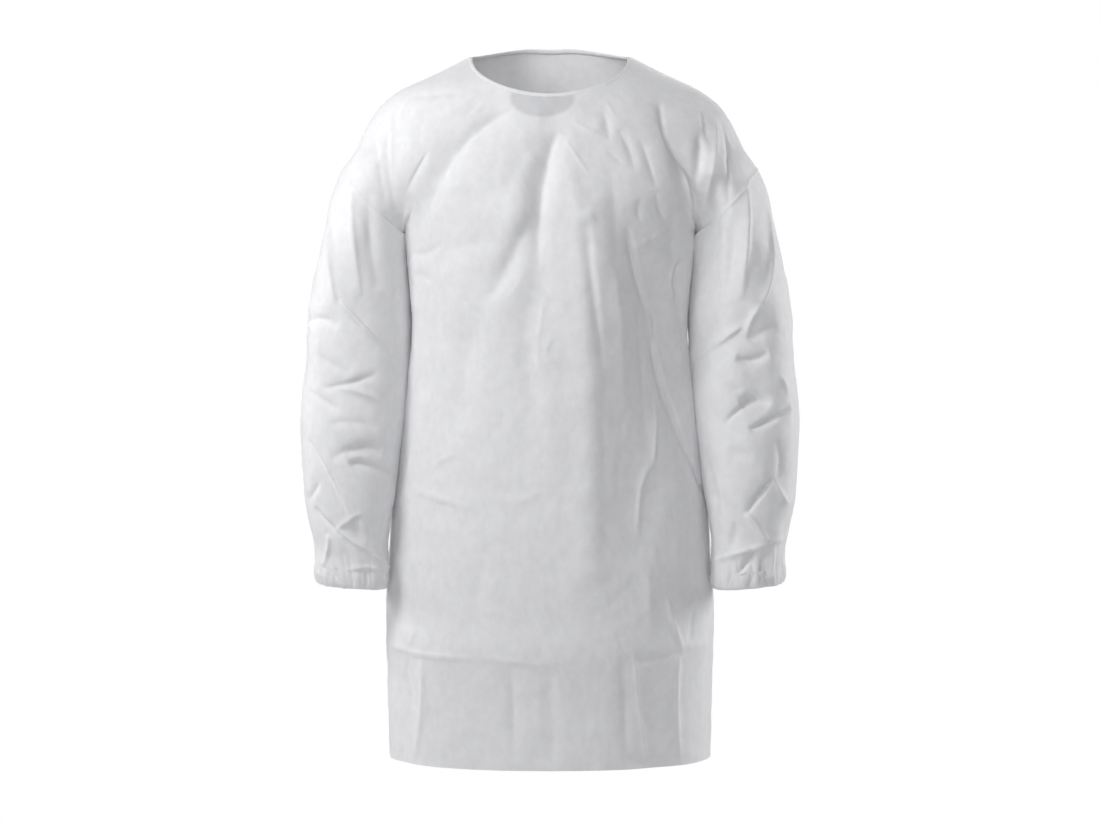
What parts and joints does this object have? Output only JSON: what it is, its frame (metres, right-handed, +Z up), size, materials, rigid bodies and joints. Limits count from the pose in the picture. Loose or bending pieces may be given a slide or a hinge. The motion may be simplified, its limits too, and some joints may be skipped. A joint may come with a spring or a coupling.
{
  "type": "disposable isolation gown",
  "caption": "Long-sleeved disposable gown of thin nonwoven cloth with a bound round neck, dropped shoulders, elastic cuffs and an open straight hem.",
  "frame": {"origin": "middle of the neck opening at the height of its sides, where the gown hangs from the wearer's neck and shoulders", "axes": "+Z up, -Y towards the gown's front, +X towards the wearer's left"},
  "size_m": [0.6344, 0.2958, 0.9101],
  "materials": {
    "cloth": "matt white spunbonded nonwoven with a fine bonded dot grain",
    "elastic_casing": "matt white nonwoven gathered over elastic",
    "binding": "matt white folded nonwoven strip"
  },
  "bodies": {
    "root": {"front": "cloth", "back": "cloth", "sleeve_left": "cloth", "sleeve_right": "cloth", "cuff_left": "elastic_casing", "cuff_right": "elastic_casing", "neck_binding": "binding"}
  },
  "joints": []
}
